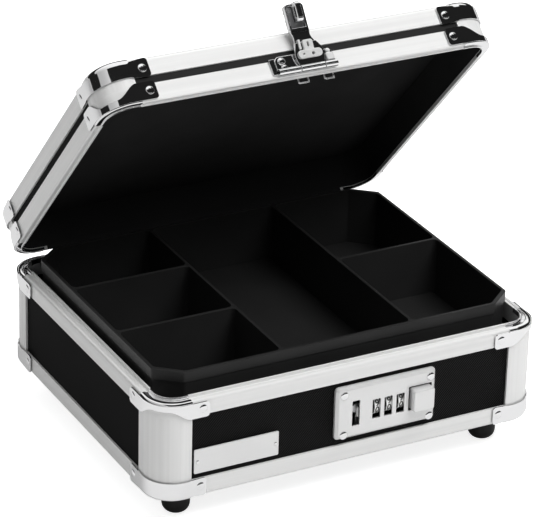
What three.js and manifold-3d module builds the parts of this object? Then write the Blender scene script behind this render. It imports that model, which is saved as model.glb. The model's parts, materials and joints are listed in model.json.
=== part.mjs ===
// A small cash box: an aluminium-framed case on rubber feet, with a hinged lid, a hasp,
// a three-dial combination lock and a lift-out tray with compartments.
// Millimetres, +Z up, front towards -Y. "inset" is the distance inwards from the outer side faces.
import * as THREE from "three";
import { mergeVertices } from "three/addons/utils/BufferGeometryUtils.js";
import Module from "manifold-3d";

const wasm = await Module();
wasm.setup();

// Driving sizes
const WIDTH = 254;
const DEPTH = 209.5;
const CORNER_R = 17.5;
const FOOT_H = 20;
const RAIL_LOW_TOP = 11.3;
const PANEL_BOTTOM = 11.6;
const PANEL_TOP = 52.65;
const RAIL_HIGH_BOTTOM = 52.95;
const RIM_Z = 63.1;
const LID_STRIP = [11.0, 15.76];
const LID_TOP = 28.1;
const GAP = 0.3;
const CAP_T = 0.5;
const POST_FRONT = 22;
const POST_SIDE = 24.2;
const HINGE = { y: 106.9, z: FOOT_H + 64.95, knuckle: 1.9, halfLength: 88 };
const LID_ANGLE = THREE.MathUtils.degToRad(47.5);
const BARREL = { y: -DEPTH / 2 - 2.5, z: FOOT_H + RIM_Z + 2.4, r: 2 };
const HASP_ANGLE = THREE.MathUtils.degToRad(168);
const FLAP = { root: 3, head: 1, knuckle: 7.7 };
const LOCK = { x: [-12.7, 54.1], z: [15.7, 49.8], proud: 2.5 };
const DIAL = { x: [14.1, 22.05, 30.15], z: 31.85, inset: 5.6, r: 6.9, width: 4.8 };
const BUTTON = { x: [36.3, 50.0], z: [25.7, 40.9] };
const TRAY = { x: 118, y: 90.3, top: 74, bottom: 35, wall: 2.2, floor: 2.2 };

// Materials
const material = (color, roughness, metalness) =>
  new THREE.MeshStandardMaterial({ color, roughness, metalness });
const SATIN = material(0xd9dadb, 0.34, 1);
const CHROME = material(0xdfe0e2, 0.08, 1);
const BLACK_PANEL = material(0x141414, 0.45, 0);
const RIBBED = material(0x18181a, 0.6, 0);
const LINING = material(0x101011, 0.85, 0);
const TRAY_PLASTIC = material(0x161617, 0.5, 0);
const RUBBER = material(0x101010, 0.8, 0);
const DIAL_WHITE = material(0xcfd0cf, 0.4, 0.6);

// Solids

function outwardFacing(geometry) {
  const p = geometry.getAttribute("position");
  const index = geometry.index.array;
  const [a, b, c] = [0, 1, 2].map(() => new THREE.Vector3());
  let volume = 0;
  for (let i = 0; i < index.length; i += 3) {
    a.fromBufferAttribute(p, index[i]);
    b.fromBufferAttribute(p, index[i + 1]);
    c.fromBufferAttribute(p, index[i + 2]);
    volume += a.dot(b.cross(c));
  }
  if (volume < 0) {
    for (let i = 0; i < index.length; i += 3) {
      [index[i + 1], index[i + 2]] = [index[i + 2], index[i + 1]];
    }
  }
  geometry.computeVertexNormals();
  return geometry;
}

// Joins a row of matching sections, each a list of [x, y, z], into one closed body.
function loft(sections, outline, closed) {
  const n = outline.length;
  const index = [];
  const bands = closed ? sections.length : sections.length - 1;
  for (let i = 0; i < bands; i++) {
    const a = i * n;
    const b = ((i + 1) % sections.length) * n;
    for (let j = 0; j < n; j++) {
      const k = (j + 1) % n;
      index.push(a + j, b + k, b + j, a + j, a + k, b + k);
    }
  }
  if (!closed) {
    const last = (sections.length - 1) * n;
    const points = outline.map(([u, z]) => new THREE.Vector2(u, z));
    for (const [i, j, k] of THREE.ShapeUtils.triangulateShape(points, [])) {
      index.push(i, k, j, last + i, last + j, last + k);
    }
  }
  const geometry = new THREE.BufferGeometry();
  geometry.setAttribute("position", new THREE.Float32BufferAttribute(sections.flat(2), 3));
  geometry.setIndex(index);
  return outwardFacing(geometry);
}

function anticlockwise(outline) {
  const points = outline.map(([u, z]) => new THREE.Vector2(u, z));
  return THREE.ShapeUtils.isClockWise(points) ? [...outline].reverse() : outline;
}

// The stations of one quarter of the rounded rectangle, in the corner at +X +Y: a point on the
// outer face, the way out of it, and how far along the faces it lies from the corner.
function cornerStations(frontDistances, sideDistances, steps = 6) {
  const centre = [WIDTH / 2 - CORNER_R, DEPTH / 2 - CORNER_R];
  const along = (a) => ({ at: [WIDTH / 2 - a, DEPTH / 2], out: [0, 1], from: a });
  const aside = (b) => ({ at: [WIDTH / 2, DEPTH / 2 - b], out: [1, 0], from: b });
  const arc = [];
  for (let i = 0; i <= steps; i++) {
    const turn = (i / steps) * (Math.PI / 2);
    const out = [Math.sin(turn), Math.cos(turn)];
    const at = [centre[0] + CORNER_R * out[0], centre[1] + CORNER_R * out[1]];
    arc.push({ at, out, from: CORNER_R * (1 - Math.min(...out)) });
  }
  return [...frontDistances.map(along), ...arc, ...sideDistances.map(aside)];
}

const place = (station, inset, z) => [
  station.at[0] - station.out[0] * inset,
  station.at[1] - station.out[1] * inset,
  z,
];

// A profile of [inset, z] carried round the whole case.
function ring(profile) {
  const outline = anticlockwise(profile);
  const quarter = cornerStations([], []);
  const half = [...quarter, ...[...quarter].reverse().map((s) => turned(s, 1, -1))];
  const all = [...half, ...[...half].reverse().map((s) => turned(s, -1, 1))];
  return loft(all.map((s) => outline.map(([u, z]) => place(s, u, z))), outline, true);
}

const turned = (s, sx, sy) => ({
  at: [s.at[0] * sx, s.at[1] * sy],
  out: [s.out[0] * sx, s.out[1] * sy],
  from: s.from,
});

// A profile of [inset, z] carried round one corner only.
function cornerPiece(profile, front, side) {
  const outline = anticlockwise(profile);
  const stations = cornerStations([front], [side]);
  return loft(stations.map((s) => outline.map(([u, z]) => place(s, u, z))), outline, false);
}

function mirrored(geometry, sx, sy) {
  const copy = geometry.clone();
  copy.scale(sx, sy, 1);
  return outwardFacing(copy);
}

function solid(geometry) {
  const g = geometry.clone();
  g.deleteAttribute("normal");
  g.deleteAttribute("uv");
  const merged = mergeVertices(g, 1e-4);
  return new wasm.Manifold(
    new wasm.Mesh({
      numProp: 3,
      vertProperties: new Float32Array(merged.attributes.position.array),
      triVerts: new Uint32Array(merged.index.array),
    }),
  );
}

function geometryOf(made) {
  const mesh = made.getMesh();
  const geometry = new THREE.BufferGeometry();
  geometry.setAttribute("position", new THREE.BufferAttribute(mesh.vertProperties, 3));
  geometry.setIndex(new THREE.BufferAttribute(mesh.triVerts, 1));
  geometry.computeVertexNormals();
  return geometry;
}

const unite = (first, ...rest) =>
  geometryOf(rest.reduce((sum, g) => sum.add(solid(g)), solid(first)));
const cut = (first, ...rest) =>
  geometryOf(rest.reduce((left, g) => left.subtract(solid(g)), solid(first)));

function box([x0, x1], [y0, y1], [z0, z1]) {
  const geometry = new THREE.BoxGeometry(x1 - x0, y1 - y0, z1 - z0);
  return geometry.translate((x0 + x1) / 2, (y0 + y1) / 2, (z0 + z1) / 2);
}

function polygon(points) {
  return new THREE.Shape(points.map(([x, y]) => new THREE.Vector2(x, y)));
}

function roundedRectangle([x0, x1], [y0, y1], r, steps = 4) {
  const points = [];
  const centres = [[x1 - r, y1 - r], [x0 + r, y1 - r], [x0 + r, y0 + r], [x1 - r, y0 + r]];
  centres.forEach(([cx, cy], quarter) => {
    for (let i = 0; i <= steps; i++) {
      const turn = (quarter + i / steps) * (Math.PI / 2);
      points.push([cx + r * Math.cos(turn), cy + r * Math.sin(turn)]);
    }
  });
  return points;
}

// An outline in plan, raised from one height to another.
function raised(points, [z0, z1]) {
  const options = { depth: z1 - z0, bevelEnabled: false };
  return new THREE.ExtrudeGeometry(polygon(points), options).translate(0, 0, z0);
}

// An outline of [x, z] seen from the front, filling from one y to another.
function upright(points, [y0, y1]) {
  const options = { depth: y1 - y0, bevelEnabled: false };
  const geometry = new THREE.ExtrudeGeometry(polygon(points), options);
  return geometry.rotateX(Math.PI / 2).translate(0, y1, 0);
}

// A turned body about X through [y, z], from a profile of [radius, x].
function turnedAlongX(profile, y, z, sides = 24) {
  const points = profile.map(([r, x]) => new THREE.Vector2(r, x));
  return new THREE.LatheGeometry(points, sides).rotateZ(-Math.PI / 2).translate(0, y, z);
}

const rodAlongX = ([x0, x1], r, y, z, sides = 16) =>
  turnedAlongX([[0, x0], [r, x0], [r, x1], [0, x1]], y, z, sides);

function ringAlongX([x0, x1], r, bore, y, z, sides = 20) {
  return turnedAlongX([[bore, x0], [r, x0], [r, x1], [bore, x1], [bore, x0]], y, z, sides);
}

// A domed rivet head on a face whose way out is +Y or +X.
function rivetHead(x, y, z, towardsX, r = 2.5, height = 1.1) {
  const profile = [[0, -0.4], [r, -0.4], [r, 0.15], [r * 0.72, height * 0.75], [0, height]];
  const points = profile.map(([radius, h]) => new THREE.Vector2(radius, h));
  const dome = new THREE.LatheGeometry(points, 10);
  if (towardsX) dome.rotateZ(-Math.PI / 2);
  return dome.translate(x, y, z);
}

const insideFace = (inset) => -DEPTH / 2 + inset;

// Case

const baseZ = (z) => FOOT_H + z;

function lowerFrame() {
  return ring([
    [0, baseZ(2.2)], [0.65, baseZ(0.65)], [2.2, baseZ(0)], [12, baseZ(0)], [12, baseZ(2)],
    [2, baseZ(2)], [2, baseZ(RAIL_LOW_TOP)], [0, baseZ(RAIL_LOW_TOP)],
  ]);
}

function upperFrame() {
  return ring([
    [0, baseZ(RAIL_HIGH_BOTTOM)], [0, baseZ(60.5)], [0.65, baseZ(62.1)], [2.2, baseZ(62.8)],
    [3, baseZ(62.2)], [5.3, baseZ(62.2)], [5.3, baseZ(64.05)], [6.6, baseZ(64.05)],
    [6.6, baseZ(RAIL_HIGH_BOTTOM)], [5, baseZ(RAIL_HIGH_BOTTOM)], [5, baseZ(60.3)],
    [2, baseZ(60.3)], [2, baseZ(RAIL_HIGH_BOTTOM)],
  ]);
}

// A wall panel: a face layer between the rails and posts, and an inner layer slotted behind them.
function wallPanel(faceHalf, coreHalf, alongY) {
  const face = alongY ? WIDTH / 2 : DEPTH / 2;
  const layer = (half, from, to, z) =>
    alongY
      ? box([face - to, face - from], [-half, half], z)
      : box([-half, half], [face - to, face - from], z);
  return unite(
    layer(faceHalf, 1.2, 3, [baseZ(PANEL_BOTTOM), baseZ(PANEL_TOP)]),
    layer(coreHalf, 2.3, 4.7, [baseZ(2.3), baseZ(60)]),
  );
}

const alongX = wallPanel(WIDTH / 2 - POST_FRONT - GAP, WIDTH / 2 - CORNER_R - GAP, false);
const alongY = wallPanel(DEPTH / 2 - POST_SIDE - GAP, DEPTH / 2 - CORNER_R - GAP, true);

function frontPanel() {
  const opening = box([-10.8, 50.8], [insideFace(0), insideFace(8)], [baseZ(18.2), baseZ(47.3)]);
  return cut(mirrored(alongX, 1, -1), opening);
}

function planInset(inset) {
  const x = WIDTH / 2 - inset;
  const y = DEPTH / 2 - inset;
  return roundedRectangle([-x, x], [-y, y], CORNER_R - inset, 6);
}

function foot(x, y) {
  const profile = [
    [0, 0], [3.5, 0], [6, 0.9], [7.9, 3.2], [8.5, 7], [9, FOOT_H - 1], [9, baseZ(2)], [0, baseZ(2)],
  ];
  const points = profile.map(([r, z]) => new THREE.Vector2(r, z));
  return new THREE.LatheGeometry(points, 20).rotateX(Math.PI / 2).translate(x, y, 0);
}

// Corner caps. An ear runs out along each face and ends in a rounded tip round its rivet.

const EAR_TIP = 5;
const TIP_TURNS = [0, 30, 56, 78].map((d) => THREE.MathUtils.degToRad(d));

const tipDistances = (end) => TIP_TURNS.map((t) => end - EAR_TIP + EAR_TIP * Math.sin(t));

function smooth(from, to, at) {
  const t = THREE.MathUtils.clamp((at - from) / (to - from), 0, 1);
  return t * t * (3 - 2 * t);
}

// The upper or lower edge of a cap: the band's level at the corner, the ear's level beyond it,
// closing on the ear's middle height at the tip.
function capEdge(bandZ, earZ, middleZ, blend, front, side) {
  return (from, onSide) => {
    const end = onSide ? side : front;
    const level = THREE.MathUtils.lerp(bandZ, earZ, smooth(blend[0], blend[1], from));
    const t = THREE.MathUtils.clamp((from - end + EAR_TIP) / EAR_TIP, 0, 1);
    return middleZ + (level - middleZ) * Math.sqrt(1 - t * t);
  };
}

function cornerCap(cap) {
  const fronts = [...tipDistances(cap.front).reverse(), 21, 19.2];
  const sides = [19.2, 21, ...tipDistances(cap.side)];
  const outline = anticlockwise([[0, 0], [1, 0], [1, 1], [0, 1]]);
  const low = capEdge(cap.band[0], cap.ear[0], cap.rivetZ, cap.blend, cap.front, cap.side);
  const high = capEdge(cap.band[1], cap.ear[1], cap.rivetZ, cap.blend, cap.front, cap.side);
  const stations = cornerStations(fronts, sides);
  const section = (s) => {
    const onSide = s.out[0] > s.out[1];
    return outline.map(([u, z]) =>
      place(s, u ? -GAP : -GAP - CAP_T, z ? high(s.from, onSide) : low(s.from, onSide)),
    );
  };
  const pieces = [
    loft(stations.map(section), outline, false),
    rivetHead(WIDTH / 2 - cap.rivetFront, DEPTH / 2 + GAP + CAP_T, cap.rivetZ, false),
    rivetHead(WIDTH / 2 + GAP + CAP_T, DEPTH / 2 - cap.rivetSide, cap.rivetZ, true),
  ];
  if (cap.flange) pieces.push(cornerPiece(cap.flange, POST_FRONT, POST_FRONT));
  return unite(...pieces);
}

const lidZ = (z) => FOOT_H + RIM_Z + z;

const LOWER_CAP = {
  band: [baseZ(1.5), baseZ(RAIL_LOW_TOP)],
  ear: [baseZ(1.5), baseZ(12.3)],
  rivetZ: baseZ(7.2),
  blend: [20, 23],
  front: 31,
  side: 33,
  rivetFront: 27.3,
  rivetSide: 29,
  flange: [
    [-0.8, baseZ(2.2)], [-0.8, baseZ(1.2)], [1.3, baseZ(-0.8)], [12, baseZ(-0.8)],
    [12, baseZ(-0.3)], [1.5, baseZ(-0.3)], [-0.3, baseZ(1.5)], [-0.3, baseZ(2.2)],
  ],
};

const UPPER_CAP = {
  band: [baseZ(58.3), baseZ(62.8)],
  ear: [baseZ(51.9), baseZ(62.8)],
  rivetZ: baseZ(57.8),
  blend: [10, 21],
  front: 32.5,
  side: 34,
  rivetFront: 28.3,
  rivetSide: 29.5,
};

const LID_RIM_CAP = {
  band: [lidZ(0), lidZ(4.5)],
  ear: [lidZ(0), lidZ(11.6)],
  rivetZ: lidZ(6.1),
  blend: [10, 21],
  front: 32.5,
  side: 31,
  rivetFront: 28.3,
  rivetSide: 27.5,
};

const LID_TOP_CAP = {
  band: [lidZ(16.06), lidZ(26.6)],
  ear: [lidZ(14.9), lidZ(26.6)],
  rivetZ: lidZ(20.2),
  blend: [20, 23],
  front: 32.5,
  side: 31,
  rivetFront: 28.3,
  rivetSide: 27.5,
  flange: [
    [-0.8, lidZ(25.9)], [-0.8, lidZ(26.9)], [1.3, lidZ(28.9)], [12, lidZ(28.9)],
    [12, lidZ(28.4)], [1.5, lidZ(28.4)], [-0.3, lidZ(26.6)], [-0.3, lidZ(25.9)],
  ],
};

// Lock

function lockPlate() {
  const outline = roundedRectangle(LOCK.x, LOCK.z.map(baseZ), 2, 3);
  const thickness = [insideFace(-LOCK.proud), insideFace(0.9)];
  const through = [insideFace(-LOCK.proud - 1), insideFace(2)];
  const hole = (x, z) => box(x, through, z.map(baseZ));
  const plate = cut(
    upright(outline, thickness),
    hole([-2.1, 2.9], [23.6, 40.2]),
    ...DIAL.x.map((x) => hole([x - 2.7, x + 2.7], [25.5, 38.2])),
    hole([BUTTON.x[0] - 1.2, BUTTON.x[1] + 0.4], [BUTTON.z[0] - 0.5, BUTTON.z[1] + 1.3]),
  );
  const heads = [-7.6, 50.1].flatMap((x) =>
    [18.9, 45].map((z) => {
      const head = rivetHead(0, 0, 0, false, 2.6, 0.9).rotateX(Math.PI);
      return head.translate(x, insideFace(-LOCK.proud), baseZ(z));
    }),
  );
  return unite(plate, ...heads);
}

// An open-fronted tub behind the plate that holds the dials, the bolt and the button.
function lockCase() {
  const x = [-10.4, 50.4];
  const z = [18.6, 46.9];
  const tub = cut(
    box(x, [insideFace(1.2), insideFace(13.8)], z.map(baseZ)),
    box([x[0] + 1.2, x[1] - 1.2 + 1.5], [insideFace(1), insideFace(12.9)], [baseZ(19.8), baseZ(45.7)]),
  );
  const rib = (from) => box([from, from + 1], [insideFace(3.4), insideFace(13.4)], [baseZ(25), baseZ(45.9)]);
  const bore = rodAlongX([0, 45], 1.8, insideFace(DIAL.inset), baseZ(DIAL.z));
  return cut(unite(tub, rib(9.6), rib(34.2)), bore);
}

function dial(x) {
  const half = DIAL.width / 2;
  return ringAlongX([x - half, x + half], DIAL.r, 1.8, insideFace(DIAL.inset), baseZ(DIAL.z));
}

// A sliding plate under the dials. Its finger passes through the eye of the staple.
function lockBolt() {
  const y = [insideFace(1.6), insideFace(3)];
  return unite(
    box([2.3, 45.5], y, [baseZ(20.4), baseZ(23.2)]),
    box([2.3, 5.5], y, [baseZ(20.4), baseZ(35.7)]),
    box([0.1, 5.5], y, [baseZ(29.9), baseZ(35.7)]),
  );
}

function lockButton() {
  const outline = roundedRectangle(BUTTON.x, BUTTON.z.map(baseZ), 1.6, 3);
  return upright(outline, [insideFace(-7.5), insideFace(5)]);
}

// Hasp, drawn shut: the flap hangs down from its barrel in front of the lock plate.

const reach = (r) => BARREL.z - r;
const barrelY = (t) => BARREL.y - t;

// The flap's wide root stands further to the right than its head, and the neck leans between them.
const flapMiddle = (r) => {
  const { clamp, mapLinear } = THREE.MathUtils;
  return mapLinear(clamp(r, 10.5, 21.2), 10.5, 21.2, FLAP.root, FLAP.head);
};
const aboutRoot = (half) => [FLAP.root - half, FLAP.root + half];
const aboutHead = (half) => [FLAP.head - half, FLAP.head + half];

function haspBase() {
  const face = -DEPTH / 2 - GAP;
  const plate = box([-19, 19], [face - 1.7, face], [lidZ(0.8), lidZ(12.5)]);
  const knuckle = (x) => rodAlongX(x, BARREL.r, BARREL.y, BARREL.z);
  const bore = rodAlongX([-20, 20], 1.1, BARREL.y, BARREL.z);
  const gap = aboutRoot(FLAP.knuckle + 0.6);
  const relief = rodAlongX(gap, BARREL.r + 0.5, BARREL.y, BARREL.z);
  const stud = rivetHead(0, 0, 0, false, 2.6, 1.6).rotateX(Math.PI);
  return cut(
    unite(
      plate,
      knuckle([-19, gap[0]]),
      knuckle([gap[1], 19]),
      stud.translate(-14.3, face - 1.7, lidZ(8)),
      box([13.2, 18.2], [face - 3.6, face - 1], [lidZ(5.2), lidZ(10.4)]),
    ),
    bore,
    relief,
  );
}

function flapOutline() {
  const root = [[7.7, 1.5], [8.6, 3.5], [9.3, 7], [9.3, 10.5], [8.4, 13.2]];
  const neck = [[6.9, 15.6], [5.7, 18.4], [5.5, 20], [6, 21.2]];
  const head = [[6, 36], [5.2, 37.8], [3.4, 38.5]];
  const half = [...root, ...neck, ...head];
  const side = (sign) => half.map(([x, r]) => [flapMiddle(r) + sign * x, reach(r)]);
  return [...side(1), ...side(-1).reverse()];
}

function haspFlap() {
  const whole = flapOutline();
  const slab = (from, to, t) => {
    const bound = solid(box([-20, 20], [barrelY(t[1]), barrelY(t[0])], [reach(to), reach(from)]));
    return geometryOf(solid(upright(whole, [barrelY(6), barrelY(-6)])).intersect(bound));
  };
  const wings = slab(1.5, 15.1, [-0.6, 0.7]);
  const neck = slab(13, 24, [0.3, 1.9]);
  const head = slab(20.6, 38.6, [0.3, 4.2]);
  const pocket = upright(
    roundedRectangle(aboutHead(4.4), [reach(36.8), reach(22.4)], 1.5, 3),
    [barrelY(2.4), barrelY(0)],
  );
  const staple = box([-1.7, 1.7], [barrelY(2.6), barrelY(-7.4)], [reach(38), reach(28)]);
  const eye = box([-3, 3], [barrelY(-3.8), barrelY(-5.8)], [reach(36.2), reach(29.2)]);
  const crossbar = upright(
    roundedRectangle(aboutRoot(7.75), [reach(10.5), reach(5)], 2.6, 4),
    [barrelY(0), barrelY(-1.9)],
  );
  const stem = box(aboutRoot(3.25), [barrelY(0), barrelY(-1.9)], [reach(15.1), reach(9)]);
  const knuckle = rodAlongX(aboutRoot(FLAP.knuckle), BARREL.r, BARREL.y, BARREL.z);
  const bore = rodAlongX(aboutRoot(FLAP.knuckle + 1), 1.1, BARREL.y, BARREL.z);
  const shell = unite(wings, neck, head, crossbar, stem, knuckle);
  return cut(unite(cut(shell, pocket), staple), eye, bore);
}

function haspBacking() {
  const y = (from, to) => [insideFace(from), insideFace(to)];
  return unite(
    box([-16, 22], y(4.3, 5.3), [lidZ(3), lidZ(14)]),
    box([-16, 22], y(5, 7.8), [lidZ(3), lidZ(4.2)]),
    box([-4.4, 2.8], y(7, 7.8), [lidZ(-2.6), lidZ(4)]),
    box([12.8, 19.2], y(7, 7.8), [lidZ(-2.6), lidZ(4)]),
  );
}

// Rear hinge: two leaves with alternating knuckles on one long pin.

const KNUCKLES = 7;
const knuckleSpan = (i) => {
  const pitch = (2 * HINGE.halfLength) / KNUCKLES;
  return [-HINGE.halfLength + i * pitch + GAP / 2, -HINGE.halfLength + (i + 1) * pitch - GAP / 2];
};

function hingeLeaf(onLid) {
  const y = [DEPTH / 2 + GAP, DEPTH / 2 + GAP + 1];
  const z = onLid ? [HINGE.z + 1, lidZ(10)] : [baseZ(54), HINGE.z - 1];
  const own = [...Array(KNUCKLES).keys()].filter((i) => (i % 2 === 1) === onLid);
  const others = [...Array(KNUCKLES).keys()].filter((i) => (i % 2 === 1) !== onLid);
  const leaf = box([-HINGE.halfLength, HINGE.halfLength], y, z);
  const knuckles = own.map((i) => rodAlongX(knuckleSpan(i), HINGE.knuckle, HINGE.y, HINGE.z, 12));
  const reliefs = others.map((i) => {
    const [x0, x1] = knuckleSpan(i);
    return rodAlongX([x0 - GAP, x1 + GAP], HINGE.knuckle + 0.4, HINGE.y, HINGE.z, 12);
  });
  const bore = rodAlongX([-100, 100], 1.1, HINGE.y, HINGE.z, 12);
  return cut(unite(leaf, ...knuckles), bore, ...reliefs);
}

// Lid, drawn shut

function lidRimFrame() {
  return ring([
    [0, lidZ(0)], [3.3, lidZ(0)], [3.3, lidZ(-0.7)], [4.3, lidZ(-0.7)], [4.3, lidZ(1.5)],
    [2, lidZ(1.5)], [2, lidZ(10.7)], [0, lidZ(10.7)],
  ]);
}

function lidTopFrame() {
  return ring([
    [0, lidZ(16.06)], [0, lidZ(25.6)], [0.73, lidZ(27.37)], [2.5, lidZ(LID_TOP)],
    [12, lidZ(LID_TOP)], [12, lidZ(26.3)], [2, lidZ(26.3)], [2, lidZ(16.06)],
  ]);
}

function lidSkirt() {
  const z = LID_STRIP.map(lidZ);
  const x = WIDTH / 2 - POST_FRONT - GAP;
  const y = DEPTH / 2 - POST_FRONT - GAP;
  const face = (half) => [half - 2.5, half - 1.2];
  const back = (half) => [1.2 - half, 2.5 - half];
  return unite(
    ring([[2.3, lidZ(1.8)], [4, lidZ(1.8)], [4, lidZ(23.4)], [2.3, lidZ(23.4)]]),
    box([-x, x], face(DEPTH / 2), z),
    box([-x, x], back(DEPTH / 2), z),
    box(face(WIDTH / 2), [-y, y], z),
    box(back(WIDTH / 2), [-y, y], z),
  );
}

function lidPanel() {
  return unite(
    raised(planInset(2.3), [lidZ(23.7), lidZ(26)]),
    raised(planInset(12.3), [lidZ(25), lidZ(27.4)]),
  );
}

// Tray

function trayOutline(spread) {
  const x = TRAY.x + spread;
  const y = TRAY.y + spread;
  const corners = [[x, y - 12.5], [x - 15, y]];
  const half = [...corners, ...[...corners].reverse().map(([px, py]) => [-px, py])];
  return [...half, ...[...half].reverse().map(([px, py]) => [px, -py])];
}

function tray() {
  const [front, back] = [-TRAY.y + TRAY.wall, TRAY.y - TRAY.wall];
  const [left, right] = [-TRAY.x + TRAY.wall, TRAY.x - TRAY.wall];
  const half = 1;
  const cells = [
    [[left, -39.5 - half], [front, -28.4 - half]],
    [[left, -39.5 - half], [-28.4 + half, 33.4 - half]],
    [[left, -39.5 - half], [33.4 + half, back]],
    [[-39.5 + half, 46.5 - half], [front, back]],
    [[46.5 + half, right], [front, 3 - half]],
    [[46.5 + half, right], [3 + half, back]],
  ];
  const inside = solid(raised(trayOutline(-TRAY.wall), [0, 200]));
  const hollows = cells.map(([x, y]) => {
    const hollow = raised(roundedRectangle(x, y, 6, 3), [baseZ(TRAY.bottom + TRAY.floor), baseZ(90)]);
    return geometryOf(solid(hollow).intersect(inside));
  });
  const body = unite(
    raised(trayOutline(-0.9), [baseZ(TRAY.bottom), baseZ(TRAY.top)]),
    raised(trayOutline(0), [baseZ(TRAY.top - 7), baseZ(TRAY.top)]),
  );
  return cut(body, ...hollows);
}

// A ledge on each side wall that the tray stands on.
function traySupport() {
  return box([109, WIDTH / 2 - 5], [-60, 60], [baseZ(TRAY.bottom - 4.3), baseZ(TRAY.bottom - GAP)]);
}

// Assembly

const cashBox = new THREE.Group();
const lid = new THREE.Group();
const lidPieces = new THREE.Group();
lid.position.set(0, HINGE.y, HINGE.z);
lid.rotation.x = -LID_ANGLE;
lidPieces.position.set(0, -HINGE.y, -HINGE.z);
lid.add(lidPieces);
cashBox.add(lid);

const flap = new THREE.Group();
const flapPieces = new THREE.Group();
flap.position.set(0, BARREL.y, BARREL.z);
flap.rotation.x = -HASP_ANGLE;
flapPieces.position.set(0, -BARREL.y, -BARREL.z);
flap.add(flapPieces);
lidPieces.add(flap);

function add(parent, name, geometry, look) {
  const mesh = new THREE.Mesh(geometry, look);
  mesh.name = name;
  parent.add(mesh);
}

const CORNERS = [
  ["front_left", -1, -1],
  ["front_right", 1, -1],
  ["rear_left", -1, 1],
  ["rear_right", 1, 1],
];

function addCorners(parent, name, geometry, look) {
  for (const [corner, sx, sy] of CORNERS) {
    add(parent, `${name}_${corner}`, mirrored(geometry, sx, sy), look);
  }
}

add(cashBox, "base_lower_frame", lowerFrame(), SATIN);
add(cashBox, "base_upper_frame", upperFrame(), SATIN);
add(cashBox, "base_panel_front", frontPanel(), RIBBED);
add(cashBox, "base_panel_rear", alongX, BLACK_PANEL);
add(cashBox, "base_panel_left", mirrored(alongY, -1, 1), BLACK_PANEL);
add(cashBox, "base_panel_right", alongY, BLACK_PANEL);
add(cashBox, "base_floor", raised(planInset(5), [baseZ(2.3), baseZ(4.8)]), LINING);
const basePost = [
  [0, baseZ(PANEL_BOTTOM)], [0, baseZ(PANEL_TOP)], [2, baseZ(PANEL_TOP)], [2, baseZ(PANEL_BOTTOM)],
];
addCorners(cashBox, "base_post", cornerPiece(basePost, POST_FRONT, POST_SIDE), SATIN);
addCorners(cashBox, "base_lower_cap", cornerCap(LOWER_CAP), CHROME);
addCorners(cashBox, "base_upper_cap", cornerCap(UPPER_CAP), CHROME);
for (const [corner, sx, sy] of CORNERS) {
  const at = [sx * (WIDTH / 2 - 23.4), sy * (DEPTH / 2 - 22.9)];
  add(cashBox, `foot_${corner}`, foot(...at), RUBBER);
}
add(
  cashBox,
  "name_plate",
  upright(roundedRectangle([-103.5, -49], [baseZ(15), baseZ(30.6)], 1, 2), [insideFace(-0.1), insideFace(0.9)]),
  CHROME,
);

add(cashBox, "lock_plate", lockPlate(), CHROME);
add(cashBox, "lock_case", lockCase(), LINING);
add(
  cashBox,
  "dial_shaft",
  rodAlongX([9.8, 35], 1.5, insideFace(DIAL.inset), baseZ(DIAL.z), 12),
  SATIN,
);
DIAL.x.forEach((x, i) => add(cashBox, `dial_${i + 1}`, dial(x), DIAL_WHITE));
add(cashBox, "lock_bolt", lockBolt(), CHROME);
add(cashBox, "lock_button", lockButton(), CHROME);

add(cashBox, "tray", tray(), TRAY_PLASTIC);
add(cashBox, "tray_support_left", mirrored(traySupport(), -1, 1), LINING);
add(cashBox, "tray_support_right", traySupport(), LINING);

add(cashBox, "hinge_base_leaf", hingeLeaf(false), SATIN);
add(
  cashBox,
  "hinge_pin",
  rodAlongX([-HINGE.halfLength, HINGE.halfLength], 0.8, HINGE.y, HINGE.z, 12),
  SATIN,
);

add(lidPieces, "hinge_lid_leaf", hingeLeaf(true), SATIN);
add(lidPieces, "lid_panel", lidPanel(), BLACK_PANEL);
add(lidPieces, "lid_skirt", lidSkirt(), BLACK_PANEL);
add(lidPieces, "lid_rim_frame", lidRimFrame(), SATIN);
add(lidPieces, "lid_top_frame", lidTopFrame(), SATIN);
const lidPost = [
  [0, lidZ(LID_STRIP[0])], [0, lidZ(LID_STRIP[1])], [2, lidZ(LID_STRIP[1])], [2, lidZ(LID_STRIP[0])],
];
addCorners(lidPieces, "lid_post", cornerPiece(lidPost, POST_FRONT, POST_FRONT), SATIN);
addCorners(lidPieces, "lid_rim_cap", cornerCap(LID_RIM_CAP), CHROME);
addCorners(lidPieces, "lid_top_cap", cornerCap(LID_TOP_CAP), CHROME);
add(lidPieces, "hasp_base", haspBase(), CHROME);
add(lidPieces, "hasp_pin", rodAlongX([-19, 19], 0.8, BARREL.y, BARREL.z, 12), CHROME);
add(lidPieces, "hasp_backing", haspBacking(), LINING);
add(flapPieces, "hasp_flap", haspFlap(), CHROME);

// The origin is the middle of the bottom of the whole part as it stands, lid open.
const part = new THREE.Group();
part.add(cashBox);
part.updateMatrixWorld(true);
const bounds = new THREE.Box3().setFromObject(part, true);
cashBox.position.set(
  -(bounds.min.x + bounds.max.x) / 2,
  -(bounds.min.y + bounds.max.y) / 2,
  -bounds.min.z,
);

export default part;
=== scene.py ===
"""Looks for the cash box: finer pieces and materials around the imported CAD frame.

Lengths are millimetres in the case's own coordinates: x and y from the middle of the case, z from
the floor. Lid and hasp pieces are drawn shut and then turned to the stored rest pose. "inset" is the
distance inwards from the outer side faces.
"""

import json
import math

import bmesh
import bpy
from mathutils import Matrix, Vector


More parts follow.
